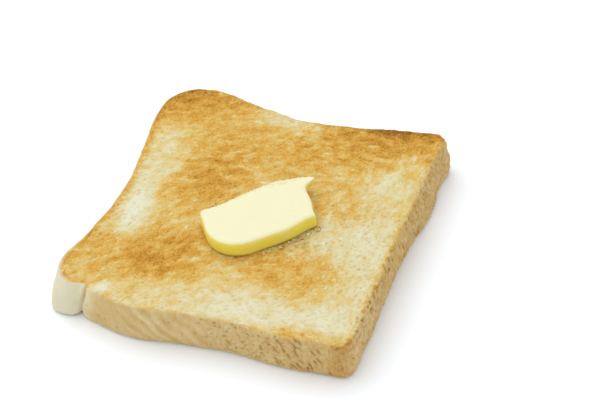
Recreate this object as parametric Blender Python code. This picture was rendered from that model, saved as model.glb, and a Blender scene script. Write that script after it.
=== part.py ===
"""Buttered toast: one thick slice of a square white loaf, lying flat, with a pat of butter on it.

Metres, +Z up. The slice's crown (the top of the loaf) faces -X, its base faces +X, and it is cut
across the loaf, so its two toasted faces are the top and the underside. The origin is at the
middle of the underside's box, so the slice rests on z = 0.
"""

import math

import bmesh
import bpy
from mathutils import Vector

MM = 0.001

# The slice, in millimetres.
SLICE_HEIGHT = 107.8        # from the loaf's crown to its base, along X
SLICE_WIDTH = 104.2         # across the loaf, along Y, without its bulging sides
SLICE_THICKNESS = 16.3
SLICE_SPACING = 2.4         # between the outline's points
CORNER_STEPS = 9            # spans round each of the slice's corners

# The rims of the two toasted faces, and the shallow dish that the crumb sinks to inside them.
UNDER_RIM = 1.5
TOP_RIM = 1.2
DISH_DEPTH = 0.4
DISH_INSET = 3.4
WALL_BULGE = 0.45

# The pale lobe of the crown's near corner, which spreads towards the underside, and its crease.
LOBE_RADIUS_TOP = 12.8
LOBE_RADIUS_UNDER = 3.6
CREASE_TOP_X = -40.0
CREASE_UNDER_X = -43.5
CREASE_DEPTH = 1.9
CREASE_HALF_WIDTH = 1.7
CREASE_SHARPNESS = 1.5      # 2 is a round groove, 1 a sharp cut
CREASE_RUN = 15.0           # the stretch of the near side, from its left end, with closer points
CREASE_SPACING = 0.6

# The other corners' radii: crown far, base far and base near.
CROWN_FAR_RADIUS = 12.3
BASE_FAR_RADIUS = 4.0
BASE_NEAR_RADIUS = 4.5

# The butter pat, in millimetres: its own length runs along its local X.
PAT_LENGTH = 38.3
PAT_WIDTH = 23.0
PAT_THICKNESS = 6.0
PAT_CENTRE = (6.1, -8.3)
PAT_TURN = math.radians(42.0)
PAT_EDGE = 1.3              # how far its rounded top edge reaches in and down
PAT_FOOT = 0.5
PAT_BULGE = 0.2
PAT_SPACING = 1.3
PAT_CORNER_STEPS = 6
PAT_RADII = (12.0, 1.6, 1.8, 2.6)   # of its near left, near right, far right and far left corners

# Pieces that lie on each other keep this gap, in millimetres, and no corner is sharper than this.
CONTACT_GAP = 0.3
SMALLEST_RADIUS = 0.4

# Edges that turn more than this are shaded sharp.
SHARP_ANGLE = math.radians(50.0)


class Swell:
    """A soft bulge of an outline about one point: its height at the foot and at the top, and its reach.

    It moves the outline along its own normal, or along a given way out.
    """

    def __init__(self, foot, top, x, y, reach, way=None):
        self.foot = foot
        self.top = top
        self.centre = Vector((x, y))
        self.reach = reach
        self.way = Vector(way).normalized() if way else None

    def at(self, point, normal, level):
        """The move that this bulge gives to a point of the outline, at a level from 0 up to 1."""
        height = self.foot + (self.top - self.foot) * level
        distance = (point - self.centre).length
        return (self.way or normal) * (height * math.exp(-0.5 * (distance / self.reach) ** 2))


# The loaf rose unevenly: its crown is dished, and its sides bulge and draw in.
SLICE_SWELLS = (
    Swell(-6.8, -6.8, -SLICE_HEIGHT / 2, -6.5, 22.5),
    Swell(2.4, 0.0, -SLICE_HEIGHT / 2, -45.0, 9.0),
    Swell(3.2, 3.2, -34.7, SLICE_WIDTH / 2, 10.1),
    Swell(-4.8, -4.8, 5.8, SLICE_WIDTH / 2, 18.1),
    Swell(0.7, 0.7, 46.0, SLICE_WIDTH / 2, 8.0),
    Swell(4.6, 3.8, -22.3, -SLICE_WIDTH / 2, 10.3),
    Swell(1.1, 1.1, -0.3, -SLICE_WIDTH / 2, 9.0),
    Swell(1.5, 1.5, 29.2, -SLICE_WIDTH / 2, 9.0),
    Swell(2.7, 0.0, SLICE_HEIGHT / 2, 27.0, 10.0),
    Swell(2.6, 1.1, SLICE_HEIGHT / 2, 51.0, 4.5),
)

# The pat was cut with a knife: a wavy far edge, a near edge that draws in, and a tip pulled out.
PAT_SWELLS = (
    Swell(2.2, 2.2, 16.5, -PAT_WIDTH / 2, 5.0, way=(0.0, 1.0)),
    Swell(1.5, 1.5, PAT_LENGTH / 2, -9.0, 4.0, way=(-1.0, 0.0)),
    Swell(0.3, 0.7, -PAT_LENGTH / 2, 8.0, 5.0, way=(1.0, 0.0)),
    Swell(1.4, 1.4, 11.5, PAT_WIDTH / 2, 3.6),
    Swell(-0.9, -0.9, -13.5, PAT_WIDTH / 2, 4.0),
    Swell(0.5, 6.0, 19.2, 9.2, 1.6, way=(1.0, -0.15)),
)


def clear_scene():
    """Remove whatever objects the open file holds."""
    for item in list(bpy.data.objects):
        bpy.data.objects.remove(item, do_unlink=True)


def rounded_rectangle(length, width, radii, inset, corner_steps, spacing, close_run=(0.0, 0.0)):
    """The points and outward normals of a rounded rectangle, anticlockwise from the near side.

    radii are those of the near left, near right, far right and far left corners. The rectangle
    is drawn in by inset all round. The first close_run[0] millimetres of the near side have
    points close_run[1] apart.
    """
    half = Vector((length / 2 - inset, width / 2 - inset))
    radii = [max(radius - inset, SMALLEST_RADIUS) for radius in radii]
    corners = [Vector((x * half.x, y * half.y)) for x, y in ((-1, -1), (1, -1), (1, 1), (-1, 1))]
    points = []
    for side, way in enumerate(((1, 0), (0, 1), (-1, 0), (0, -1))):
        along = Vector(way)
        outward = Vector((along.y, -along.x))
        start_radius, end_radius = radii[side], radii[(side + 1) % 4]
        start = corners[side] + along * start_radius
        end = corners[(side + 1) % 4] - along * end_radius
        full = length if side % 2 == 0 else width
        fractions = side_fractions(full, spacing, close_run if side == 0 else (0.0, 0.0))
        points += [(start.lerp(end, fraction), outward) for fraction in fractions]
        centre = end - outward * end_radius
        for step in range(1, corner_steps):
            angle = 0.5 * math.pi * step / corner_steps
            normal = outward * math.cos(angle) + along * math.sin(angle)
            points.append((centre + normal * end_radius, normal))
    return points


def side_fractions(full, spacing, close_run):
    """Fractions from 0 to 1 along a side, closer together in its first stretch."""
    run, close_spacing = close_run
    close_steps = round(run / close_spacing) if close_spacing else 0
    close = [run / full * step / close_steps for step in range(close_steps)]
    open_steps = round((full - run) / spacing)
    start = run / full if close else 0.0
    return close + [start + (1.0 - start) * step / open_steps for step in range(open_steps + 1)]


def crease_depth(x, level):
    """How deep the crease between the lobe and the crust is, at x, a level from 0 up to 1."""
    middle = CREASE_UNDER_X + (CREASE_TOP_X - CREASE_UNDER_X) * level
    across = abs(x - middle) / CREASE_HALF_WIDTH
    return CREASE_DEPTH * math.exp(-across ** CREASE_SHARPNESS)


def swollen(point, normal, swells, level):
    """A point of an outline, moved by every one of its swells."""
    return point + sum((swell.at(point, normal, level) for swell in swells), Vector((0, 0)))


def slice_ring(height, inset):
    """The slice's outline at one height, drawn in by inset."""
    level = height / SLICE_THICKNESS
    lobe = LOBE_RADIUS_UNDER + (LOBE_RADIUS_TOP - LOBE_RADIUS_UNDER) * level
    radii = (lobe, BASE_NEAR_RADIUS, BASE_FAR_RADIUS, CROWN_FAR_RADIUS)
    fade = max(0.0, 1.0 - inset / DISH_INSET)
    ring = []
    for point, normal in rounded_rectangle(SLICE_HEIGHT, SLICE_WIDTH, radii, inset, CORNER_STEPS,
                                           SLICE_SPACING, close_run=(CREASE_RUN, CREASE_SPACING)):
        moved = swollen(point, normal, SLICE_SWELLS, level)
        moved -= normal * (crease_depth(point.x, level) * fade * max(0.0, -normal.y) ** 2)
        ring.append(Vector((moved.x, moved.y, height)))
    return ring


def pat_ring(height, inset):
    """The butter pat's outline at one height, drawn in by inset, still about its own middle."""
    level = height / PAT_THICKNESS
    ring = []
    for point, normal in rounded_rectangle(PAT_LENGTH, PAT_WIDTH, PAT_RADII, inset,
                                           PAT_CORNER_STEPS, PAT_SPACING):
        moved = swollen(point, normal, PAT_SWELLS, level)
        ring.append(Vector((moved.x, moved.y, height)))
    return ring


def raise_rings(rings):
    """A closed solid whose first ring is filled and whose next ones are each extruded from it."""
    bm = bmesh.new()
    station = bm.verts.layers.int.new("station")
    first = [bm.verts.new(point) for point in rings[0]]
    for number, vert in enumerate(first):
        vert[station] = number
    under = bm.faces.new(first)
    face = under
    for ring in rings[1:]:
        made = bmesh.ops.extrude_face_region(bm, geom=[face])["geom"]
        if face is not under:
            bmesh.ops.delete(bm, geom=[face], context="FACES_ONLY")
        face = next(part for part in made if isinstance(part, bmesh.types.BMFace))
        for vert in face.verts:
            vert.co = ring[vert[station]]
    bmesh.ops.recalc_face_normals(bm, faces=bm.faces)
    return bm


def food_material(name, colour, roughness):
    """A plain opaque finish of one colour, given as red, green and blue."""
    material = bpy.data.materials.new(name)
    material.use_nodes = True
    shader = material.node_tree.nodes["Principled BSDF"]
    shader.inputs["Base Color"].default_value = (*colour, 1.0)
    shader.inputs["Roughness"].default_value = roughness
    shader.inputs["Metallic"].default_value = 0.0
    material.diffuse_color = (*colour, 1.0)
    return material


def add_object(name, bm, material):
    """Scale a solid from millimetres to metres and link it into the scene, shaded smooth."""
    bmesh.ops.scale(bm, vec=(MM, MM, MM), verts=bm.verts)
    mesh = bpy.data.meshes.new(name)
    bm.to_mesh(mesh)
    bm.free()
    mesh.materials.append(material)
    mesh.shade_smooth()
    mesh.set_sharp_from_angle(angle=SHARP_ANGLE)
    item = bpy.data.objects.new(name, mesh)
    bpy.context.scene.collection.objects.link(item)
    return item


def slice_rings():
    """The slice's outlines from the underside up, over the top rim and down into the dish."""
    top = SLICE_THICKNESS
    profile = (
        (0.0, UNDER_RIM),
        (0.3 * UNDER_RIM, 0.3 * UNDER_RIM),
        (UNDER_RIM, 0.0),
        (0.5 * top, -WALL_BULGE),
        (top - TOP_RIM, 0.0),
        (top - 0.3 * TOP_RIM, 0.3 * TOP_RIM),
        (top, TOP_RIM),
        (top - DISH_DEPTH, DISH_INSET),
    )
    return [slice_ring(height, inset) for height, inset in profile]


def make_slice():
    """The slice of toast, with the middle of its box over the origin."""
    rings = slice_rings()
    every = [point for ring in rings for point in ring]
    middle = [0.5 * (min(p[axis] for p in every) + max(p[axis] for p in every)) for axis in (0, 1)]
    shift = Vector((-middle[0], -middle[1], 0.0))
    rings = [[point + shift for point in ring] for ring in rings]
    material = food_material("toasted_bread", (0.60, 0.36, 0.11), 0.85)
    return add_object("toast_slice", raise_rings(rings), material)


def make_pat():
    """The butter pat, lying on the dish of the slice's top face."""
    profile = (
        (0.0, PAT_FOOT),
        (PAT_FOOT, 0.0),
        (0.5 * PAT_THICKNESS, -PAT_BULGE),
        (PAT_THICKNESS - PAT_EDGE, 0.0),
        (PAT_THICKNESS - 0.3 * PAT_EDGE, 0.3 * PAT_EDGE),
        (PAT_THICKNESS, PAT_EDGE),
    )
    bm = raise_rings([pat_ring(height, inset) for height, inset in profile])
    material = food_material("butter", (0.89, 0.80, 0.42), 0.40)
    pat = add_object("butter_pat", bm, material)
    lift = SLICE_THICKNESS - DISH_DEPTH + CONTACT_GAP
    pat.location = Vector((PAT_CENTRE[0], PAT_CENTRE[1], lift)) * MM
    pat.rotation_euler = (0.0, 0.0, PAT_TURN)
    return pat


def main():
    """Build the slice and its pat of butter."""
    clear_scene()
    make_slice()
    make_pat()


main()
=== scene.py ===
"""Buttered toast: a slice of square white bread browned on both faces, with a pat of butter on it.

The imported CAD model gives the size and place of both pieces. This script gives them their real
surface: the open crumb, the tan crust with its crease and wrinkles, the browning, and the butter's
cut faces. Lengths are in millimetres until a mesh is finished, and metres after that.
"""

import logging
import math
from collections.abc import Callable
from dataclasses import dataclass, field
from enum import Enum, IntEnum

import bmesh
import bpy
import numpy as np
from mathutils import Matrix, Vector, kdtree, noise


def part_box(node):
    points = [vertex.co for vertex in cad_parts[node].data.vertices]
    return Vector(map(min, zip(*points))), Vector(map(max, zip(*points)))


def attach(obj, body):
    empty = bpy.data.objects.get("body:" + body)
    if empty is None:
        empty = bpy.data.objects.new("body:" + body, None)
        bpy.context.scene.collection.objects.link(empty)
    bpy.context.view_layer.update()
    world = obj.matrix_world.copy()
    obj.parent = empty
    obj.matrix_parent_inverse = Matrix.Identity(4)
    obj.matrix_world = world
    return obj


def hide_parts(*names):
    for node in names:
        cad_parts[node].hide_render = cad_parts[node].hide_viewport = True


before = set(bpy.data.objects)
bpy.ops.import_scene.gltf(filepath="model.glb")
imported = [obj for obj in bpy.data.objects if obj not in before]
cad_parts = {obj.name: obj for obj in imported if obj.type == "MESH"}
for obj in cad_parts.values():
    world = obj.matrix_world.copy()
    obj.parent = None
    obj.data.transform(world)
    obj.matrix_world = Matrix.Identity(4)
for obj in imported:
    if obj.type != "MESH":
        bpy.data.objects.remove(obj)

LOG = logging.getLogger("buttered_toast")
MM = 0.001
IN_PLAN = (1.0, 1.0, 0.0)    # times a point, this sets it down on the plane where Z is 0


class Face(Enum):
    """The three kinds of surface that a slice of bread has."""

    TOP = "top"
    WALL = "wall"
    UNDER = "under"


class Pattern(IntEnum):
    """Which noise pattern each use has, so that no two of them show the same lumps."""

    CRUST_EDGE = 3
    PATCH_SHIFT_X = 5
    PATCH_SHIFT_Y = 6
    SMEARS = 7
    BAKE = 8
    PAT_SWELL = 21
    PAT_FLAKES = 23
    PAT_SMEARS = 24
    STREAKS = 31
    GRAIN = 32
    FLECKS = 33
    WIPES = 34
    RIM_DOTS = 35
    TURNS = 41
    WIPED_EDGE = 42
    WRINKLES = 51
    WRINKLE_STRENGTH = 52
    SWELL = 61
    LUMPS = 62


# ---- Small helpers for numbers, noise and nodes ----

def smooth_step(low: float, high: float, value: np.ndarray) -> np.ndarray:
    """Ease from 0 at low to 1 at high.

    Args:
        low: where the result is 0.
        high: where the result is 1; it may be less than low.
        value: the numbers to ease.

    Returns:
        Numbers from 0 to 1.
    """
    share = np.clip((value - low) / (high - low), 0.0, 1.0)
    return share * share * (3.0 - 2.0 * share)


def noise_at(points: np.ndarray, grain: float, seed: int, octaves: int = 1) -> np.ndarray:
    """Smooth noise, about -1 to 1, at each point.

    Args:
        points: one a row, in millimetres.
        grain: the size of the largest lumps, in millimetres.
        seed: moves the pattern, so that each use has its own.
        octaves: how many finer layers are added, each half the size and strength.

    Returns:
        One number a point.
    """
    total = np.zeros(len(points))
    strength = 1.0
    for octave in range(octaves):
        moved = points / grain + np.array((17.3, 9.1, 4.7)) * (seed + 1.37 * octave)
        total += strength * np.fromiter(map(noise.noise, moved.tolist()), float, len(points))
        grain *= 0.5
        strength *= 0.5
    return total


def evened(values: np.ndarray) -> np.ndarray:
    """Shift and scale numbers so that their mean is 0 and their spread is 1.

    Args:
        values: the numbers.

    Returns:
        As many numbers.
    """
    return (values - values.mean()) / values.std()


def even_noise(points: np.ndarray, grain: float, seed: int, octaves: int = 1) -> np.ndarray:
    """Smooth noise whose spread about its middle is 1, so that a strength can be given in mm.

    Args:
        points: one a row, in millimetres.
        grain: the size of the largest lumps, in millimetres.
        seed: moves the pattern.
        octaves: how many finer layers are added.

    Returns:
        One number a point.
    """
    return evened(noise_at(points, grain, seed, octaves))


def drawn_noise(points: np.ndarray, ways: np.ndarray, grain: float, reach: float,
                seed: int) -> np.ndarray:
    """Noise drawn out into streaks that run the given way at each point, with a spread of 1.

    Args:
        points: one a row, in millimetres.
        ways: the streaks' direction at each point, of length 1.
        grain: the streaks' width, in millimetres.
        reach: half their length, in millimetres.
        seed: moves the pattern.

    Returns:
        One number a point.
    """
    steps = np.linspace(-1.0, 1.0, 5)
    return evened(sum(noise_at(points + ways * (reach * step), grain, seed) for step in steps))


def search_tree(points: np.ndarray) -> kdtree.KDTree:
    """Sort points so that the nearest can be found quickly.

    Args:
        points: points, one a row.

    Returns:
        A tree that knows each point by its row.
    """
    tree = kdtree.KDTree(len(points))
    for number, point in enumerate(points.tolist()):
        tree.insert(point, number)
    tree.balance()
    return tree


def hex_colour(code: str) -> tuple[float, float, float, float]:
    """Turn an sRGB hex colour into linear red, green, blue and an alpha of 1.

    Args:
        code: six hex digits, such as "e8d6a0".

    Returns:
        The linear colour.
    """
    parts = [int(code[place:place + 2], 16) / 255.0 for place in (0, 2, 4)]
    linear = [part / 12.92 if part <= 0.04045 else ((part + 0.055) / 1.055) ** 2.4
              for part in parts]
    return (*linear, 1.0)


def add_node(tree: bpy.types.NodeTree, kind: str, settings: dict | None = None,
             links: dict | None = None) -> bpy.types.Node:
    """Add a node with its settings and links.

    Args:
        tree: the material's node tree.
        kind: the node's type name, without ShaderNode before it.
        settings: values by name: of the node's own properties, or of its input sockets.
        links: for an input socket's name or number, the output socket that feeds it.

    Returns:
        The new node.
    """
    node = tree.nodes.new("ShaderNode" + kind)
    for name, value in (settings or {}).items():
        if isinstance(name, str) and hasattr(node, name):
            setattr(node, name, value)
        else:
            node.inputs[name].default_value = value
    for name, source in (links or {}).items():
        tree.links.new(source, node.inputs[name])
    return node


def stored(tree: bpy.types.NodeTree, name: str) -> bpy.types.NodeSocket:
    """Read a number that is stored at each point of the mesh.

    Args:
        tree: the material's node tree.
        name: the attribute's name.

    Returns:
        Its output socket.
    """
    return add_node(tree, "Attribute", {"attribute_name": name}).outputs["Fac"]


def fill_ramp(node: bpy.types.Node, stops: tuple[tuple[float, str], ...]) -> bpy.types.Node:
    """Give a colour ramp its stops.

    Args:
        node: the ramp node.
        stops: a place from 0 to 1 and a hex colour for each stop.

    Returns:
        The same node.
    """
    elements = node.color_ramp.elements
    while len(elements) > 1:
        elements.remove(elements[-1])
    elements[0].position = stops[0][0]
    elements[0].color = hex_colour(stops[0][1])
    for place, code in stops[1:]:
        elements.new(place).color = hex_colour(code)
    return node


# ---- Finishes ----

@dataclass(frozen=True)
class FoodFinish:
    """What every finish here has: a sheen, and light scattered a little below the surface."""

    name: str
    roughness: float
    ior: float
    specular: float
    scatter_weight: float
    scatter_mm: tuple[float, float, float]

    def start(self) -> tuple[bpy.types.Material, bpy.types.Node, bpy.types.NodeSocket]:
        """Begin the node material.

        Returns:
            The material, its shader, and the socket that gives a point's place in metres.
        """
        material = bpy.data.materials.new(self.name)
        material.use_nodes = True
        shader = material.node_tree.nodes["Principled BSDF"]
        for name, value in (
                ("Roughness", self.roughness), ("IOR", self.ior),
                ("Specular IOR Level", self.specular), ("Subsurface Weight", self.scatter_weight),
                ("Subsurface Radius", [length * MM for length in self.scatter_mm]),
                ("Subsurface Scale", 1.0)):
            shader.inputs[name].default_value = value
        place = add_node(material.node_tree, "TexCoord").outputs["Object"]
        return material, shader, place


@dataclass(frozen=True)
class ToastedBreadFinish(FoodFinish):
    """Toasted white bread: open crumb browned by a grill, and the baked loaf's thin tan crust.

    Bread is matte and scatters light a little below its surface. Browning follows the attribute
    "browning", broken up by the crumb's own grain, with painted shade in its deepest cells; the attribute
    "crust" turns crumb into crust, which "bake_and_shade" takes from the pale lobe to brown, with painted
    shade in its cells, crease and wrinkles and a painted highlight beside the crease; "pit" is how deep
    in an open cell a point is, and darkens the colour there as painted shade.
    """

    name: str = "toasted_white_bread"
    # Crumb from untoasted to charred, as it browns; a browning of 1 is at full_browning.
    crumb: tuple[tuple[float, str], ...] = (
        (0.00, "d9d7bc"), (0.16, "d5c99d"), (0.32, "d3b870"), (0.50, "cea24b"), (0.64, "c5943b"),
        (0.76, "b4812e"), (1.00, "86571f"))
    # Crust from the pale lobe to the brown corner.
    crust: tuple[tuple[float, str], ...] = (
        (0.00, "d6d0b4"), (0.30, "d4c194"), (0.55, "c6a970"), (0.80, "b78a48"), (1.00, "99652a"))
    # How dark the deepest open cells are drawn: painted shade in the hollows.
    pit_shade: float = 0.86
    full_browning: float = 0.8
    roughness: float = 0.85
    ior: float = 1.45
    specular: float = 0.2
    scatter_weight: float = 0.10
    scatter_mm: tuple[float, float, float] = (1.2, 0.8, 0.4)
    grain_mm: float = 0.8
    grain_strength: float = 0.11
    cell_mm: float = 0.8
    cell_strength: float = 0.08
    fine_mm: float = 0.40
    fine_height_mm: float = 0.10

    def material(self) -> bpy.types.Material:
        """Build the node material.

        Returns:
            The material.
        """
        material, shader, place = self.start()
        tree = material.node_tree
        browning, crust, bake_and_shade, pit = (
            stored(tree, name) for name in ("browning", "crust", "bake_and_shade", "pit"))

        # The crumb's grain: cell walls brown sooner than the hollows between them, the more so
        # the browner the crumb is.
        grain = add_node(tree, "TexNoise", {
            "Scale": 1.0 / (self.grain_mm * MM), "Detail": 3.0, "Roughness": 0.7},
            {"Vector": place}).outputs["Fac"]
        cells = add_node(tree, "TexVoronoi", {"Scale": 1.0 / (self.cell_mm * MM)},
                         {"Vector": place}).outputs["Distance"]
        uneven = add_node(tree, "MapRange", {
            "From Max": 0.6, "To Min": 0.15, "To Max": 1.0}, {"Value": browning})
        mottled = offset_by(tree, 0.0, grain, self.grain_strength)
        mottled = offset_by(tree, mottled, cells, self.cell_strength)
        mottled = add_node(tree, "Math", {"operation": "MULTIPLY_ADD"}, {
            0: mottled, 1: uneven.outputs["Result"], 2: browning}).outputs[0]
        scaled = add_node(tree, "Math", {
            "operation": "MULTIPLY", 1: self.full_browning}, {0: mottled})
        crumb_colour = fill_ramp(
            add_node(tree, "ValToRGB", links={"Fac": scaled.outputs[0]}), self.crumb)
        baked_and_shaded = offset_by(tree, bake_and_shade, grain, 0.6 * self.grain_strength)
        crust_colour = fill_ramp(add_node(tree, "ValToRGB", links={"Fac": baked_and_shaded}), self.crust)
        mixed = add_node(tree, "Mix", {"data_type": "RGBA"}, {
            0: crust, 6: crumb_colour.outputs["Color"], 7: crust_colour.outputs["Color"]})
        # Open cells drawn darker in colour, the deeper a point is in them: painted shade.
        shade = add_node(tree, "MapRange", {"To Min": 1.0, "To Max": self.pit_shade}, {"Value": pit})
        shaded = add_node(tree, "VectorMath", {"operation": "SCALE"},
                          {"Vector": mixed.outputs[2], "Scale": shade.outputs["Result"]})
        tree.links.new(shaded.outputs["Vector"], shader.inputs["Base Color"])

        # Torn cell walls too fine for the mesh: about half as rough on the crust.
        fine = add_node(tree, "TexNoise", {
            "Scale": 1.0 / (self.fine_mm * MM), "Detail": 3.0, "Roughness": 0.6}, {"Vector": place})
        height = add_node(tree, "Math", {"operation": "ADD"}, {0: fine.outputs["Fac"], 1: cells})
        calm = add_node(tree, "MapRange", {"To Min": 1.0, "To Max": 0.5}, {"Value": crust})
        relief = add_node(tree, "Bump", {"Distance": self.fine_height_mm * MM},
                          {"Height": height.outputs[0], "Strength": calm.outputs["Result"]})
        tree.links.new(relief.outputs["Normal"], shader.inputs["Normal"])
        return material


@dataclass(frozen=True)
class ButterFinish(FoodFinish):
    """Dairy butter, cut cold with a knife: pale cream on top, a painted highlight along its rounded top edge,
    deeper yellow on its sides as painted shade, and darker at its foot as painted shade.
    """

    name: str = "cold_butter"
    # cut: the top's cream. edge: a painted highlight on the rounded top edge. rim: the sides' deeper yellow,
    # painted shade. foot: darker where the pat meets the toast, painted shade.
    cut: str = "e4e0bb"
    edge: str = "ece9d0"
    rim: str = "e8d850"
    foot: str = "cdb044"
    roughness: float = 0.45
    ior: float = 1.46
    specular: float = 0.35
    scatter_weight: float = 0.25
    scatter_mm: tuple[float, float, float] = (2.0, 1.5, 0.6)
    wax_mm: float = 1.1
    wax_strength: float = 0.25
    wax_height_mm: float = 0.15

    def material(self) -> bpy.types.Material:
        """Build the node material.

        Returns:
            The material.
        """
        material, shader, place = self.start()
        tree = material.node_tree
        rim, edge, foot = (stored(tree, name) for name in ("rim", "edge", "foot"))
        # The top's cream, paler along the rounded top edge as a painted highlight.
        top_with_edge_highlight = add_node(tree, "Mix", {
            "data_type": "RGBA", 6: hex_colour(self.cut), 7: hex_colour(self.edge)}, {0: edge})
        mixed = add_node(tree, "Mix", {
            "data_type": "RGBA", 7: hex_colour(self.rim)}, {0: rim, 6: top_with_edge_highlight.outputs[2]})
        # Darker at the foot where the pat meets the toast: painted shade.
        with_foot_shade = add_node(tree, "Mix", {
            "data_type": "RGBA", 7: hex_colour(self.foot)}, {0: foot, 6: mixed.outputs[2]})
        tree.links.new(with_foot_shade.outputs[2], shader.inputs["Base Color"])
        wax = add_node(tree, "TexNoise", {
            "Scale": 1.0 / (self.wax_mm * MM), "Detail": 3.0, "Roughness": 0.55},
            {"Vector": place})
        relief = add_node(tree, "Bump", {
            "Strength": self.wax_strength, "Distance": self.wax_height_mm * MM},
            {"Height": wax.outputs["Fac"]})
        tree.links.new(relief.outputs["Normal"], shader.inputs["Normal"])
        return material


def offset_by(tree: bpy.types.NodeTree, value: bpy.types.NodeSocket | float,
              texture: bpy.types.NodeSocket, strength: float) -> bpy.types.NodeSocket:
    """Add a texture, centred on 0 and scaled, to a value.

    Args:
        tree: the node tree.
        value: the value, or its socket.
        texture: the socket of a texture from 0 to 1.
        strength: how far the texture's extremes move the value.

    Returns:
        The sum's socket.
    """
    centred = add_node(tree, "Math", {"operation": "SUBTRACT", 1: 0.5}, {0: texture})
    added = add_node(tree, "Math", {"operation": "MULTIPLY_ADD", 1: 4.0 * strength},
                     {0: centred.outputs[0]})
    if isinstance(value, float):
        added.inputs[2].default_value = value
    else:
        tree.links.new(value, added.inputs[2])
    return added.outputs[0]


# ---- Surface features of the slice ----

@dataclass(frozen=True)
class Patch:
    """A soft-edged oval of a toasted face, browner or paler than the rest of it."""

    x: float
    y: float
    reach_x: float
    reach_y: float
    strength: float
    turn: float = 0.0

    def at(self, points: np.ndarray) -> np.ndarray:
        """How much this patch changes the value at each point.

        Args:
            points: one a row, in millimetres.

        Returns:
            One number a point.
        """
        cosine, sine = math.cos(math.radians(self.turn)), math.sin(math.radians(self.turn))
        x, y = points[:, 0] - self.x, points[:, 1] - self.y
        along = (x * cosine + y * sine) / self.reach_x
        across = (y * cosine - x * sine) / self.reach_y
        return self.strength * np.exp(-0.5 * (along ** 2 + across ** 2) ** 1.3)


class Run(Enum):
    """Which way the long axis of an open cell runs."""

    ANY = "any"
    WITH_RIM = "with_rim"
    UPRIGHT = "upright"
    SLANTING = "slanting"


@dataclass(frozen=True)
class PoreField:
    """Open cells on one kind of face, each a small bowl, round or stretched one way.

    They gather about a middle in plan, if it is given, within the reach in X and Y.
    """

    face: Face
    number: int
    smallest: float
    largest: float
    depth: float
    stretch: float = 1.4
    run: Run = Run.ANY
    middle: tuple[float, float] = (0.0, 0.0)
    reach: tuple[float, float] = (1000.0, 1000.0)

    def weights(self, points: np.ndarray) -> np.ndarray:
        """How likely each point is to be a cell's middle; they add up to 1.

        Args:
            points: the points to choose from, in millimetres.

        Returns:
            One weight a point.
        """
        offset = (points[:, :2] - self.middle) / self.reach
        weight = np.exp(-0.5 * (offset ** 2).sum(axis=1) ** 2)
        return weight / weight.sum()


# Where the grill browned the top face more or less than the rest of it. The pale patch at the crease's top, at
# (-36.5, -50.5), is a painted highlight; the pale one on the far rim's fold, at (-3, 46), is partly a painted
# highlight.
TOP_PATCHES = (
    Patch(-45, 44, 7, 8, 0.34), Patch(-33, 50, 14, 5, 0.25), Patch(-25, 38, 15, 8, 0.19),
    Patch(-23, 9, 10.5, 13, 0.36), Patch(0, 26, 19, 9, 0.22), Patch(30, 46, 20, 6, 0.40),
    Patch(38.5, 53, 18, 3.7, 0.85), Patch(-32, -29, 7, 4, 0.12), Patch(19, 36, 12, 7, 0.22),
    Patch(-27, -32, 14, 9, 0.36), Patch(-12, -37, 13, 8, 0.20), Patch(20.5, -26.5, 15, 8, 0.26),
    Patch(-49, -31, 5, 10, 0.10), Patch(-44, -44, 9, 6, 0.07), Patch(32, -51, 17, 3.2, 0.13),
    Patch(-24, -51, 16, 3.2, -0.09), Patch(-36.5, -50.5, 4, 2.4, -0.24),
    Patch(42.5, 30, 1, 8, -0.20, -15), Patch(25, 9, 10, 9, 0.13), Patch(-5, -20.5, 13, 5, 0.19),
    Patch(-11, 11, 7, 7, 0.12), Patch(-20, 2, 6, 6, 0.10), Patch(-41, 12, 5, 9, 0.07),
    Patch(50, -20, 3, 10, -0.07), Patch(42, 41, 9, 6, 0.14), Patch(35, 30, 8, 6, 0.11),
    Patch(-40, 2, 5, 24, -0.28, 6), Patch(-3, 46, 9, 3.2, -0.24), Patch(20, -43.5, 32, 4.8, -0.29),
    Patch(45, -15, 6, 30, -0.17), Patch(41, 24, 5, 6, -0.12), Patch(-17, -19, 13, 5, 0.16),
    Patch(-40, -30, 5, 6, 0.07), Patch(8, -50, 13, 3.5, -0.14), Patch(32, -6, 11, 7, -0.18),
    Patch(-1, -31.5, 8, 5, -0.16), Patch(-39, -18, 5, 11, -0.18),
)


@dataclass
class Surface:
    """The slice's points and what is known at each of them, one row or number a point.

    rim is how far inside the outline a point is, and ways which way the streaks run there. flat is
    1 on the toasted faces and 0 on the walls. pit is the depth of the open cells. streak and grain
    are the surface's own patterns, with a spread of 1.
    """

    points: np.ndarray
    normals: np.ndarray
    rim: np.ndarray
    ways: np.ndarray
    flat: np.ndarray
    pit: np.ndarray
    streak: np.ndarray
    grain: np.ndarray


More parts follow.
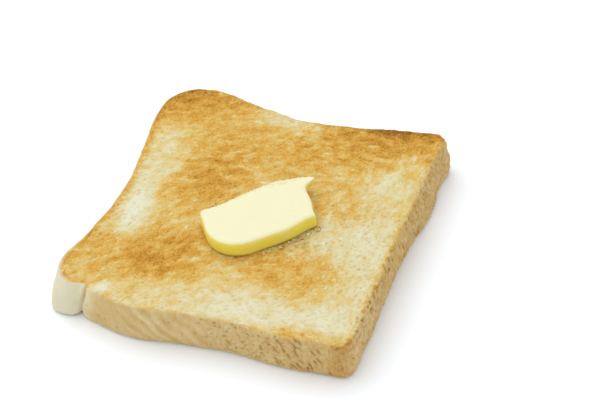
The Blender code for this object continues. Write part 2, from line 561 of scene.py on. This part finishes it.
@dataclass
class ToastSlice:
    """The slice of toast: one closed piece with its crumb, crust, crease and browning.

    Its crown, the top of the loaf, faces -X, and its base +X.
    """

    node: str = "toast_slice"
    voxel: float = 0.95
    thickness: float = 16.3
    plain_browning: float = 0.385
    patch_shift: float = 3.6
    plain_bake: float = 0.505
    dot_browning: float = 0.38
    # How far the surface is cut back, how much less so on the crust, and how torn the crumb is.
    skin: float = 0.12
    crust_rise: float = 0.3
    torn: float = 0.045
    # A cell this deep is fully open to the eye.
    open_depth: float = 0.35
    # The crease between the crown's near lobe and the side slants down the wall.
    crease_top_x: float = -39.6
    crease_under_x: float = -44.1
    crease_depth: float = 1.3
    crease_half_width: float = 0.5
    lobe_bulge: float = 0.8
    # The wrinkles of the near side: their spacing, how much they lean, and how much they waver.
    wrinkle_spacing: float = 5.5
    wrinkle_lean: float = 0.9
    wrinkle_waver: float = 2.5
    pores: tuple[PoreField, ...] = (
        PoreField(Face.TOP, 3600, 0.42, 0.7, 0.34, 1.6, Run.WITH_RIM),
        PoreField(Face.TOP, 240, 0.42, 0.6, 0.7, 1.2, Run.ANY, (37.0, -6.0), (13.0, 20.0)),
        PoreField(Face.TOP, 120, 0.45, 0.8, 0.6, 1.3, Run.WITH_RIM),
        PoreField(Face.TOP, 34, 0.5, 0.8, 1.0, 2.0, Run.ANY, (20.0, -12.0), (6.0, 3.5)),
        PoreField(Face.WALL, 110, 0.42, 0.6, 0.7, 1.2, Run.ANY, (17.0, -54.0), (11.0, 8.0)),
        PoreField(Face.WALL, 28, 0.36, 0.48, 1.5, 4.6, Run.SLANTING, (37.0, -54.0), (8.0, 8.0)),
        PoreField(Face.WALL, 330, 0.40, 0.58, 0.65, 2.2, Run.UPRIGHT, (54.0, 6.0), (8.0, 44.0)),
        PoreField(Face.WALL, 45, 0.42, 0.6, 0.5, 1.3, Run.UPRIGHT),
        PoreField(Face.UNDER, 900, 0.9, 1.4, 0.45, 1.4, Run.WITH_RIM),
    )
    finish: ToastedBreadFinish = field(default_factory=ToastedBreadFinish)

    def build(self) -> bpy.types.Object:
        """Build the slice and dress it.

        Returns:
            The finished object.
        """
        mesh = remeshed_copy(self.node, self.voxel)
        refine(mesh, lambda face: face.normal.z > -0.5)
        rng = np.random.default_rng(11)
        surface = self._surface(mesh, rng)
        browning = self._browning(surface)
        self._carve(mesh, surface, browning, rng)
        open_cell = np.clip(surface.pit / self.open_depth, 0.0, 1.0)
        browning = self._mottled(browning, surface, open_cell)
        dots = self._rim_dots(surface)
        browning += self.dot_browning * dots
        # Open cells on the crust are drawn browner: painted shade in them.
        bake_and_shade = self._bake_and_shade(surface) + 0.2 * open_cell + 0.25 * dots
        add_attribute(mesh, "browning", np.clip(browning, 0.0, 1.25))
        add_attribute(mesh, "crust", 1.0 - surface.flat)
        add_attribute(mesh, "bake_and_shade", np.clip(bake_and_shade, 0.0, 1.0))
        add_attribute(mesh, "pit", open_cell)
        return finish_piece("toast", mesh, self.finish.material(), self.node)

    def _surface(self, mesh: bpy.types.Mesh, rng: np.random.Generator) -> Surface:
        """Work out what is known at each point of the slice.

        Args:
            mesh: the slice's smooth mesh.
            rng: the random source.

        Returns:
            The points and what is known at them.
        """
        points, normals = read_mesh(mesh)
        rim, ways = self._rim(points, normals)
        uneven = 0.06 * noise_at(points, 1.5, Pattern.CRUST_EDGE, 2)
        flat = smooth_step(0.45, 0.85, np.abs(normals[:, 2]) + uneven)
        pit = self._pores(points, normals, ways, rng)
        streak = drawn_noise(points, ways, 0.75, 0.9, Pattern.STREAKS)
        grain = even_noise(points, 0.8, Pattern.GRAIN)
        return Surface(points, normals, rim, ways, flat, pit, streak, grain)

    def _carve(self, mesh: bpy.types.Mesh, surface: Surface, browning: np.ndarray,
               rng: np.random.Generator) -> None:
        """Cut the cells, the crease and the surface's own relief into the mesh.

        Args:
            mesh: the slice's mesh.
            surface: its points and what is known at them.
            browning: how browned each point is; browner crumb is rougher.
            rng: the random source.
        """
        flat = surface.flat
        rough = 0.45 + 0.75 * np.clip(browning, 0.0, 1.0)
        depth = self.skin - self.crust_rise * (1.0 - flat) + surface.pit
        depth = depth + self._relief(surface, flat * rough)
        depth += self._crease(surface)
        depth += self.torn * rng.normal(size=len(depth)) * (0.25 + 0.75 * flat * rough)
        moved = surface.points - surface.normals * depth[:, None]
        low, high = (np.array(corner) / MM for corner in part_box(self.node))
        write_mesh(mesh, np.clip(moved, low, high))

    def _rim(self, points: np.ndarray, normals: np.ndarray) -> tuple[np.ndarray, np.ndarray]:
        """How far inside the outline each point is, and which way the streaks run there.

        Args:
            points: one a row, in millimetres.
            normals: their normals.

        Returns:
            One distance a point in millimetres, and one direction a point.
        """
        middle = 0.5 * (points[:, 2].min() + points[:, 2].max())
        ring = points[np.abs(points[:, 2] - middle) < 0.6 * self.voxel]
        tree = search_tree(ring * IN_PLAN)
        found = [tree.find(point) for point in (points * IN_PLAN).tolist()]
        distances = np.array([distance for _, _, distance in found])
        outward = np.array([place for place, _, _ in found])[:, :2] - points[:, :2]
        angles = np.arctan2(outward[:, 1], outward[:, 0]) + 0.5 * math.pi
        x, y = points[:, 0], points[:, 1]
        wiped = 0.35 + 0.5 * smooth_step(15.0, -5.0, y) * smooth_step(10.0, -15.0, x)
        edge = 24.0 + 14.0 * noise_at(points, 6.0, Pattern.WIPED_EDGE, 2)
        angles = np.where(x < edge, wiped, angles)
        angles += 0.7 * noise_at(points, 10.0, Pattern.TURNS, 2)
        ways = np.stack([np.cos(angles), np.sin(angles), np.zeros(len(points))], axis=1)
        walls = np.abs(normals[:, 2]) < 0.5
        ways[walls] = (0.0, 0.0, 1.0)
        return distances, ways

    def _browning(self, surface: Surface) -> np.ndarray:
        """How browned each point is, from 0, untoasted, to 1, dark.

        Args:
            surface: the slice's surface.

        Returns:
            One number a point.
        """
        points, rim = surface.points, surface.rim
        shift = np.stack([noise_at(points, 11.0, pattern, 3)
                          for pattern in (Pattern.PATCH_SHIFT_X, Pattern.PATCH_SHIFT_Y)], axis=1)
        shifted = points[:, :2] + self.patch_shift * shift
        total = self.plain_browning + sum(patch.at(shifted) for patch in TOP_PATCHES)
        x, y = points[:, 0], points[:, 1]
        crown = smooth_step(-35.0, -42.0, x) * (1.0 - smooth_step(1.8, 4.6, rim))
        corner = smooth_step(-14.0, -34.0, x) * smooth_step(28.0, 42.0, y)
        corner *= 1.0 - smooth_step(2.0, 13.0, rim)
        return total + 0.09 * (1.0 - smooth_step(0.5, 2.2, rim)) + 0.30 * crown + 0.16 * corner

    @staticmethod
    def _mottled(browning: np.ndarray, surface: Surface, open_cell: np.ndarray) -> np.ndarray:
        """Break up the browning with smears, grain and paler flecks, and draw the open cells: paler in the
        brown crumb, darker as painted shade in the pale crumb, and darkest, as painted shade, where deepest.

        Args:
            browning: how browned each point is at large.
            surface: the slice's surface.
            open_cell: how open the cell at each point is, from 0 to 1.

        Returns:
            One number a point.
        """
        points, ways = surface.points, surface.ways
        browned = np.clip(browning, 0.0, 0.75)
        smears = drawn_noise(points, ways, 3.2, 1.4, Pattern.SMEARS)
        total = browning + (0.02 + 0.09 * browned) * smears
        wipes = drawn_noise(points, ways, 1.5, 1.2, Pattern.WIPES)
        fine = 0.05 * surface.streak + 0.08 * surface.grain + 0.085 * wipes
        total += fine * (0.04 + browned)
        fleck = smooth_step(0.9, 2.0, drawn_noise(points, ways, 1.0, 0.7, Pattern.FLECKS))
        total -= 0.22 * fleck * np.clip(2.0 * browned, 0.2, 1.0)
        # Open cells: pulled towards a middle browning, paler in brown crumb and darker as painted shade in
        # pale crumb; the deepest are darker still, as painted shade.
        total += (0.45 - total) * 0.45 * open_cell
        total += (0.85 - total) * smooth_step(0.5, 1.0, surface.pit)
        return np.where(total > 0.8, 0.8 + 0.6 * (total - 0.8), total)

    @staticmethod
    def _rim_dots(surface: Surface) -> np.ndarray:
        """The browned dots along the base's top rim, where the crust was scorched.

        Args:
            surface: the slice's surface.

        Returns:
            One number a point, from 0 to 1.
        """
        x, y, z = surface.points.T
        edge = smooth_step(46.0, 50.0, x) * smooth_step(9.0, 12.5, z)
        edge *= smooth_step(2.8, 1.2, surface.rim)
        edge *= 0.25 + 0.75 * smooth_step(6.0, -14.0, y) * smooth_step(-52.0, -47.0, y)
        return edge * smooth_step(0.3, 1.5, even_noise(surface.points, 1.5, Pattern.RIM_DOTS))

    def _bake_and_shade(self, surface: Surface) -> np.ndarray:
        """How darkly the crust is drawn at each point, from 0, pale, to 1, brown: its baking, with painted
        shade along the crease and in the near side's wrinkle hollows, and a painted highlight on the lip
        beside the crease.

        Args:
            surface: the slice's surface.

        Returns:
            One number a point.
        """
        points = surface.points
        x, y, z = points.T
        past = x - self._crease_x(z)
        near = smooth_step(-20.0, -35.0, y)
        lobe = near * (1.0 - smooth_step(0.0, 0.8, past))
        # lip: the crust just past the crease, drawn paler as a painted highlight on its rounded end.
        lip = near * (1.0 - smooth_step(0.5, 7.5, past))
        # cut: the crease's line, drawn darker as painted shade.
        cut = near * np.exp(-np.abs(past / 0.4) ** 1.5)
        corner = np.exp(-0.5 * (((x - 51.0) / 3.0) ** 2 + ((y + 52.5) / 3.0) ** 2))
        warmer = np.exp(-0.5 * ((x - 38.0) / 7.0) ** 2)
        bake_and_shade = self.plain_bake + 0.45 * cut + 0.07 * warmer * near
        bake_and_shade = bake_and_shade - 0.33 * lip - 0.17 * lobe + 0.25 * corner
        calm = near * (1.0 - smooth_step(0.0, 15.0, x))
        strength = 0.7 + 0.6 * noise_at(points, 12.0, Pattern.WRINKLE_STRENGTH)
        wrinkles = self._wrinkles(points) * strength
        # The wrinkles' hollows are drawn darker and their ridges paler: painted shade and painted light.
        bake_and_shade += 0.08 * wrinkles * calm * smooth_step(-31.0, -22.0, x)
        bake_and_shade += 0.08 * smooth_step(44.0, 50.0, x) * smooth_step(-34.0, -18.0, y)
        bake_and_shade += 0.035 * even_noise(points, 6.0, Pattern.BAKE, 2)
        bake_and_shade += (0.04 * surface.streak + 0.04 * surface.grain) * (1.0 - lobe) * (1.0 - 0.6 * calm)
        return np.clip(bake_and_shade, 0.0, 1.0)

    def _crease_x(self, z: np.ndarray) -> np.ndarray:
        """Where the crease's middle is along X.

        Args:
            z: heights above the underside, in millimetres.

        Returns:
            One place a height.
        """
        lean = self.crease_top_x - self.crease_under_x
        return self.crease_under_x + lean * z / self.thickness

    def _crease(self, surface: Surface) -> np.ndarray:
        """How deep the cut between the crown's lobe and the side is at each point.

        Args:
            surface: the slice's surface.

        Returns:
            One depth a point, in millimetres.
        """
        x, y, z = surface.points.T
        waver = 0.5 * np.sin(z * 0.35)
        across = np.abs(x - self._crease_x(z) + waver) / self.crease_half_width
        facing = smooth_step(0.3, 0.7, -surface.normals[:, 1]) * smooth_step(-35.0, -45.0, y)
        return self.crease_depth * facing * np.exp(-across ** 1.5)

    def _wrinkles(self, points: np.ndarray) -> np.ndarray:
        """The slanting wrinkles of the near side, from -1, a ridge, to 1, a hollow.

        Args:
            points: one a row, in millimetres.

        Returns:
            One number a point.
        """
        x, _, z = points.T
        waver = self.wrinkle_waver * noise_at(points, 9.0, Pattern.WRINKLES, 2)
        along = x + self.wrinkle_lean * z + waver
        return np.sin(along * 2.0 * math.pi / self.wrinkle_spacing)

    def _relief(self, surface: Surface, crumb_share: np.ndarray) -> np.ndarray:
        """How deep the crumb's and the crust's own unevenness is at each point.

        Args:
            surface: the slice's surface.
            crumb_share: how much of the relief is the crumb's: 0 on the walls, and a little over
                1 where the crumb is dark. The rest is the crust's.

        Returns:
            One depth a point, in millimetres.
        """
        points, streak, grain = surface.points, surface.streak, surface.grain
        swell = 0.14 * even_noise(points, 13.0, Pattern.SWELL)
        swell = swell + 0.05 * even_noise(points, 4.0, Pattern.LUMPS)
        x, y = points[:, 0], points[:, 1]
        near = smooth_step(-20.0, -35.0, y)
        base = smooth_step(40.0, 50.0, x)
        crumb = 0.035 * streak + 0.035 * grain
        crust = 0.03 * grain + (0.03 + 0.07 * base) * streak
        wrinkles = 0.12 * self._wrinkles(points) * near * smooth_step(-31.0, -22.0, x)
        crust += wrinkles * (1.0 - smooth_step(0.0, 15.0, x))
        lobe = near * (1.0 - smooth_step(0.0, 0.8, x - self.crease_top_x))
        bulge = self.lobe_bulge * smooth_step(-43.0, -48.0, x) * smooth_step(-26.0, -40.0, y)
        crust = crust * (1.0 - 0.8 * lobe) - bulge
        return swell + crumb * crumb_share + crust * (1.0 - crumb_share)

    def _pores(self, points: np.ndarray, normals: np.ndarray, ways: np.ndarray,
               rng: np.random.Generator) -> np.ndarray:
        """How deep the open cells are at each point.

        Args:
            points: the slice's points in millimetres.
            normals: their normals.
            ways: which way the streaks run at each point.
            rng: the random source.

        Returns:
            One depth a point, in millimetres.
        """
        tree = search_tree(points)
        depth = np.zeros(len(points))
        upward = normals[:, 2]
        places = {
            Face.TOP: np.flatnonzero(upward > 0.8),
            Face.WALL: np.flatnonzero(
                (np.abs(upward) < 0.5) & (points[:, 0] > self.crease_top_x)),
            Face.UNDER: np.flatnonzero(upward < -0.8),
        }
        for cells in self.pores:
            choice = places[cells.face]
            weights = cells.weights(points[choice])
            centres = rng.choice(choice, cells.number, replace=False, p=weights)
            spread = cells.largest - cells.smallest
            sizes = cells.smallest + spread * rng.random(cells.number) ** 2
            for centre, radius in zip(centres.tolist(), sizes.tolist()):
                along = self._cell_way(cells.run, ways[centre], rng)
                along = along - normals[centre] * (along @ normals[centre])
                along /= np.linalg.norm(along)
                near = tree.find_range(points[centre], radius * cells.stretch)
                numbers = np.array([number for _, number, _ in near])
                offset = points[numbers] - points[centre]
                run = offset @ along
                across = (offset ** 2).sum(axis=1) - run * run
                share = (run / (radius * cells.stretch)) ** 2 + across / radius ** 2
                bowl = cells.depth * radius * np.clip(1.0 - share, 0.0, 1.0) ** 1.2
                depth[numbers] = np.maximum(depth[numbers], bowl)
        return depth

    @staticmethod
    def _cell_way(run: Run, rim_way: np.ndarray, rng: np.random.Generator) -> np.ndarray:
        """The long axis of one open cell.

        Args:
            run: which way its kind runs.
            rim_way: which way the streaks run there.
            rng: the random source.

        Returns:
            A direction.
        """
        scatter = rng.normal(size=3)
        if run is Run.WITH_RIM:
            return rim_way + 0.3 * scatter
        if run is Run.UPRIGHT:
            return np.array((0.0, 0.0, 1.0)) + 0.25 * scatter
        if run is Run.SLANTING:
            return np.array((0.55, 0.0, -1.0)) + 0.2 * scatter
        return scatter


@dataclass
class ButterPat:
    """The pat of butter: one closed piece, cut on all sides, with a tip pulled out by the knife."""

    node: str = "butter_pat"
    voxel: float = 0.32
    turn: float = 42.0
    middle: tuple[float, float] = (6.1, -8.3)
    # How deep its skin is cut back, and how deep the flakes of its far side and its far edge are.
    skin: float = 0.12
    crumbly_side: float = 0.36
    crumbly_edge: float = 0.34
    # How far its underside sinks below its place in the CAD model.
    sink: float = 0.6
    # The shoulder of its far edge: its height, its middle along the pat, and its reach.
    shoulder: float = 1.2
    shoulder_at: float = 4.0
    shoulder_reach: float = 5.0
    smoothings: int = 7
    finish: ButterFinish = field(default_factory=ButterFinish)

    def build(self) -> bpy.types.Object:
        """Build the pat and dress it.

        Returns:
            The finished object.
        """
        mesh = remeshed_copy(self.node, self.voxel)
        soften(mesh, self.smoothings)
        points, normals = read_mesh(mesh)
        low, high = (np.array(corner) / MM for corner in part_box(self.node))
        length, width = self._own_axes(points)
        upward = smooth_step(0.35, 0.85, normals[:, 2])
        wedge = smooth_step(4.0, 11.0, width)
        flakes = np.abs(even_noise(points, 1.3, Pattern.PAT_FLAKES, 2))
        drawn = np.stack([length * 0.22, width, points[:, 2]], axis=1)
        smear = even_noise(drawn, 1.6, Pattern.PAT_SMEARS, 2)
        depth = self.skin + 0.05 * even_noise(points, 7.0, Pattern.PAT_SWELL)
        depth = depth + 0.022 * smear * upward
        depth += self.crumbly_side * wedge * (1.0 - upward) * flakes
        depth += self.crumbly_edge * smooth_step(8.5, 10.5, width) * upward * flakes
        moved = points - normals * depth[:, None]
        along = (length - self.shoulder_at) / self.shoulder_reach
        swell = self.shoulder * np.exp(-0.5 * along ** 2)
        swell *= smooth_step(2.0, 10.0, width)
        moved[:, 0] -= math.sin(math.radians(self.turn)) * swell
        moved[:, 1] += math.cos(math.radians(self.turn)) * swell
        height = (points[:, 2] - low[2]) / (high[2] - low[2])
        moved[:, 2] -= self.sink * (1.0 - smooth_step(0.0, 0.25, height))
        write_mesh(mesh, np.clip(moved, low - np.array((0.0, 0.0, self.sink)), high))
        # The sides' deeper yellow, strongest low down and weaker on the crumbly far side, is painted shade.
        skin = (1.0 - upward) * (0.55 + 0.45 * smooth_step(1.0, 0.55, height))
        skin = skin + 0.10 * smear * (1.0 - upward) - 0.45 * wedge * (1.0 - upward)
        add_attribute(mesh, "rim", np.clip(skin, 0.0, 1.0))
        # edge: a painted highlight along the rounded top edge.
        add_attribute(mesh, "edge", np.clip(4.0 * upward * (1.0 - upward), 0.0, 1.0))
        # foot: painted shade where the pat meets the toast.
        add_attribute(mesh, "foot", 1.0 - smooth_step(0.02, 0.22, height))
        return finish_piece("butter", mesh, self.finish.material(), self.node)

    def _own_axes(self, points: np.ndarray) -> tuple[np.ndarray, np.ndarray]:
        """Where each point is along the pat's own length and across it, from its middle.

        Args:
            points: one a row, in millimetres.

        Returns:
            One length and one width a point.
        """
        cosine, sine = math.cos(math.radians(self.turn)), math.sin(math.radians(self.turn))
        x, y = points[:, 0] - self.middle[0], points[:, 1] - self.middle[1]
        return x * cosine + y * sine, y * cosine - x * sine


@dataclass(frozen=True)
class CrumbKind:
    """One kind of loose crumb: how many there are, and the range of their radii and browning."""

    number: int
    radii: tuple[float, float]
    browning: tuple[float, float]


@dataclass
class LooseCrumbs:
    """Crumbs torn from the toast: flakes by the butter's near edge, grains on the browned face."""

    flakes: CrumbKind = CrumbKind(60, (0.4, 0.8), (0.05, 0.4))
    grains: CrumbKind = CrumbKind(420, (0.22, 0.36), (0.25, 0.9))
    # The flakes lie this far from the butter in plan, on this side of it; the grains keep clear.
    flake_gap: tuple[float, float] = (0.2, 1.7)
    flake_from_x: float = 11.0
    flake_to_y: float = -3.0
    grain_gap: float = 1.0
    # The top face's points are above this height.
    top_height: float = 14.0
    finish: ToastedBreadFinish = field(default_factory=lambda: ToastedBreadFinish(
        name="loose_crumb", scatter_weight=0.0))

    def build(self, toast: bpy.types.Object, butter: bpy.types.Object) -> bpy.types.Object:
        """Scatter the crumbs on the toast, as one joined piece.

        Args:
            toast: the finished slice.
            butter: the finished pat.

        Returns:
            The finished object.
        """
        rng = np.random.default_rng(29)
        points, normals = read_mesh(toast.data)
        browning = read_attribute(toast.data, "browning")
        crust = read_attribute(toast.data, "crust")
        tree = search_tree(read_mesh(butter.data)[0] * IN_PLAN)
        above = (normals[:, 2] > 0.6) & (points[:, 2] > self.top_height)
        top = np.flatnonzero(above & (crust < 0.05))
        x, y, _ = points[top].T
        gap = np.array([tree.find(point)[2] for point in (points[top] * IN_PLAN).tolist()])
        near = (gap > self.flake_gap[0]) & (gap < self.flake_gap[1])
        beside = top[near & (x > self.flake_from_x) & (y < self.flake_to_y)]
        clear = top[gap > self.grain_gap]
        heat = np.clip(browning[clear], 0.05, 1.0) ** 2
        flakes = rng.choice(beside, self.flakes.number)
        grains = rng.choice(clear, self.grains.number, p=heat / heat.sum())
        bm = bmesh.new()
        tone = bm.verts.layers.float.new("browning")
        for kind, centres in ((self.flakes, flakes), (self.grains, grains)):
            small, large = kind.radii
            for centre in centres.tolist():
                radius = small + (large - small) * rng.random() ** 2
                place = points[centre] + normals[centre] * radius * 0.2
                shade = float(np.clip(browning[centre] + 0.15 * rng.normal(), *kind.browning))
                self._crumb(bm, tone, place, radius, shade, rng)
        mesh = bpy.data.meshes.new("loose_crumbs")
        bm.to_mesh(mesh)
        bm.free()
        return finish_piece("loose_crumbs", mesh, self.finish.material(), "")

    @staticmethod
    def _crumb(bm: bmesh.types.BMesh, tone: bmesh.types.BMLayerItem, place: np.ndarray,
               radius: float, shade: float, rng: np.random.Generator) -> None:
        """Add one crumb, a small rough lump.

        Args:
            bm: the mesh that it joins.
            tone: the layer that holds its browning.
            place: its middle, in millimetres.
            radius: its mean radius, in millimetres.
            shade: its browning.
            rng: the random source.
        """
        made = bmesh.ops.create_icosphere(bm, subdivisions=1, radius=radius * MM)["verts"]
        stretch = Vector((rng.uniform(0.9, 1.7), rng.uniform(0.5, 1.0), rng.uniform(0.4, 0.8)))
        bmesh.ops.scale(bm, vec=stretch, verts=made)
        bmesh.ops.rotate(bm, cent=(0.0, 0.0, 0.0), verts=made,
                         matrix=Matrix.Rotation(rng.uniform(0.0, 6.28), 3, "Z"))
        for vert in made:
            vert.co *= rng.uniform(0.5, 1.35)
            vert.co += Vector(place) * MM
            vert[tone] = shade


# ---- Mesh steps shared by the pieces ----

def remeshed_copy(node: str, voxel: float) -> bpy.types.Mesh:
    """Copy a CAD node, merge its loose triangles and remesh it evenly.

    Args:
        node: the CAD node's name.
        voxel: the new mesh's spacing in millimetres.

    Returns:
        The new mesh, in metres.
    """
    bm = bmesh.new()
    bm.from_mesh(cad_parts[node].data)
    bmesh.ops.remove_doubles(bm, verts=bm.verts, dist=1e-6)
    mesh = bpy.data.meshes.new(node + "_merged")
    bm.to_mesh(mesh)
    bm.free()
    item = bpy.data.objects.new(node + "_merged", mesh)
    bpy.context.scene.collection.objects.link(item)
    remesh = item.modifiers.new("even_spacing", "REMESH")
    remesh.mode = "VOXEL"
    remesh.voxel_size = voxel * MM
    remesh.adaptivity = 0.0
    graph = bpy.context.evaluated_depsgraph_get()
    even = bpy.data.meshes.new_from_object(item.evaluated_get(graph))
    bpy.data.objects.remove(item)
    return even


def relax(bm: bmesh.types.BMesh, rounds: int) -> None:
    """Draw each point of a mesh halfway towards its neighbours' middle.

    Args:
        bm: the mesh to change.
        rounds: how many times.
    """
    for _ in range(rounds):
        bmesh.ops.smooth_vert(bm, verts=bm.verts, factor=0.5, use_axis_x=True, use_axis_y=True,
                              use_axis_z=True)


def refine(mesh: bpy.types.Mesh, chosen: Callable[[bmesh.types.BMFace], bool]) -> None:
    """Split each chosen face in four, and even out the joins.

    Args:
        mesh: the mesh to change.
        chosen: says for a face whether it is to be split.
    """
    bm = bmesh.new()
    bm.from_mesh(mesh)
    bm.normal_update()
    edges = {edge for face in bm.faces if chosen(face) for edge in face.edges}
    bmesh.ops.subdivide_edges(bm, edges=list(edges), cuts=1, use_grid_fill=True)
    relax(bm, 1)
    bm.to_mesh(mesh)
    bm.free()


def soften(mesh: bpy.types.Mesh, rounds: int) -> None:
    """Round a mesh's edges by drawing each point towards its neighbours.

    Args:
        mesh: the mesh to change.
        rounds: how many times.
    """
    bm = bmesh.new()
    bm.from_mesh(mesh)
    relax(bm, rounds)
    bm.to_mesh(mesh)
    bm.free()


def read_mesh(mesh: bpy.types.Mesh) -> tuple[np.ndarray, np.ndarray]:
    """Read a mesh's points and normals.

    Args:
        mesh: the mesh, in metres.

    Returns:
        Its points in millimetres, and its normals, one a row.
    """
    points = np.empty(len(mesh.vertices) * 3)
    mesh.vertices.foreach_get("co", points)
    normals = np.empty(len(mesh.vertices) * 3)
    mesh.vertices.foreach_get("normal", normals)
    return points.reshape(-1, 3) / MM, normals.reshape(-1, 3)


def write_mesh(mesh: bpy.types.Mesh, points: np.ndarray) -> None:
    """Move a mesh's points.

    Args:
        mesh: the mesh to change.
        points: their new places in millimetres.
    """
    mesh.vertices.foreach_set("co", (points * MM).ravel())
    mesh.update()


def add_attribute(mesh: bpy.types.Mesh, name: str, values: np.ndarray) -> None:
    """Store one number a point on a mesh, for its material to read.

    Args:
        mesh: the mesh to change.
        name: the attribute's name.
        values: one number a point.
    """
    attribute = mesh.attributes.new(name, "FLOAT", "POINT")
    attribute.data.foreach_set("value", values.astype(np.float32))


def read_attribute(mesh: bpy.types.Mesh, name: str) -> np.ndarray:
    """Read the numbers that are stored at a mesh's points.

    Args:
        mesh: the mesh.
        name: the attribute's name.

    Returns:
        One number a point.
    """
    values = np.empty(len(mesh.vertices), dtype=np.float32)
    mesh.attributes[name].data.foreach_get("value", values)
    return values


def finish_piece(name: str, mesh: bpy.types.Mesh, material: bpy.types.Material, node: str) -> bpy.types.Object:
    """Make a finished mesh a piece of the toast, standing for a CAD node.

    Args:
        name: the piece's name.
        mesh: its mesh.
        material: its material.
        node: the CAD node that it stands for, or nothing for one that the CAD leaves out.

    Returns:
        The piece.
    """
    mesh.name = name
    mesh.materials.clear()
    mesh.materials.append(material)
    mesh.shade_smooth()
    piece = bpy.data.objects.new(name, mesh)
    bpy.context.scene.collection.objects.link(piece)
    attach(piece, "root")
    if node:
        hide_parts(node)
    triangles = sum(len(face.vertices) - 2 for face in mesh.polygons)
    LOG.info("%s: %d points, %d triangles", name, len(mesh.vertices), triangles)
    return piece


# ---- Studio ----

@dataclass(frozen=True)
class SoftLight:
    """A round studio light that faces the toast. Its distance and size are in metres."""

    name: str
    azimuth: float
    elevation: float
    distance: float
    size: float
    power: float

    def build(self) -> bpy.types.Object:
        """Place the light.

        Returns:
            The light.
        """
        data = bpy.data.lights.new(self.name, "AREA")
        data.shape = "DISK"
        data.size = self.size
        data.energy = self.power
        light = bpy.data.objects.new(self.name, data)
        way = heading(self.azimuth, self.elevation)
        light.location = way * self.distance
        light.rotation_euler = way.to_track_quat("Z", "Y").to_euler()
        bpy.context.scene.collection.objects.link(light)
        return light


def heading(azimuth: float, elevation: float) -> Vector:
    """The way from the toast to something at an azimuth and elevation.

    Args:
        azimuth: degrees round from -Y towards +X.
        elevation: degrees up from the table.

    Returns:
        A direction of length 1.
    """
    turn, lift = math.radians(azimuth), math.radians(elevation)
    return Vector((math.sin(turn) * math.cos(lift), -math.cos(turn) * math.cos(lift),
                   math.sin(lift)))


@dataclass
class Studio:
    """A white table under soft light, and the camera.

    The camera's distance and aim are in millimetres, and the table's half size in metres.
    """

    azimuth: float = 24.78
    elevation: float = 43.49
    roll: float = -6.09
    distance: float = 521.4
    aim: tuple[float, float, float] = (10.35, 21.46, 0.0)
    lens: float = 85.0
    sensor: float = 36.0
    lights: tuple[SoftLight, ...] = (
        SoftLight("key_light", -113.0, 66.0, 1.1, 1.1, 4.6),
    )
    world: float = 0.93
    table: str = "f6faff"
    table_roughness: float = 0.9
    table_half_size: float = 3.0

    def build(self) -> None:
        """Build the floor, lights, sky and camera."""
        self._floor()
        for light in self.lights:
            light.build()
        world = bpy.data.worlds.new("white_room")
        world.use_nodes = True
        background = world.node_tree.nodes["Background"]
        background.inputs["Color"].default_value = (1.0, 1.0, 1.0, 1.0)
        background.inputs["Strength"].default_value = self.world
        bpy.context.scene.world = world
        bpy.context.scene.view_settings.view_transform = "Standard"
        self._camera()

    def _floor(self) -> None:
        """A plain white table top."""
        bm = bmesh.new()
        bmesh.ops.create_grid(bm, x_segments=1, y_segments=1, size=self.table_half_size)
        mesh = bpy.data.meshes.new("table_top")
        bm.to_mesh(mesh)
        bm.free()
        material = bpy.data.materials.new("white_card")
        material.use_nodes = True
        shader = material.node_tree.nodes["Principled BSDF"]
        shader.inputs["Base Color"].default_value = hex_colour(self.table)
        shader.inputs["Roughness"].default_value = self.table_roughness
        mesh.materials.append(material)
        floor = bpy.data.objects.new("table_top", mesh)
        bpy.context.scene.collection.objects.link(floor)

    def _camera(self) -> None:
        """The camera, at its angle to the toast."""
        data = bpy.data.cameras.new("camera")
        data.lens = self.lens
        data.sensor_width = self.sensor
        camera = bpy.data.objects.new("camera", data)
        back = heading(self.azimuth, self.elevation)
        place = (Vector(self.aim) + back * self.distance) * MM
        right = Vector((0.0, 0.0, 1.0)).cross(back).normalized()
        up = back.cross(right)
        turned = Matrix((right, up, back)).transposed() @ Matrix.Rotation(
            math.radians(self.roll), 3, "Z")
        camera.matrix_world = Matrix.Translation(place) @ turned.to_4x4()
        bpy.context.scene.collection.objects.link(camera)
        bpy.context.scene.camera = camera


def main() -> None:
    """Build the studio and the pieces."""
    logging.basicConfig(level=logging.INFO, format="%(message)s")
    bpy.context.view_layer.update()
    Studio().build()
    toast = ToastSlice().build()
    butter = ButterPat().build()
    LooseCrumbs().build(toast, butter)


if __name__ == "__main__":
    main()
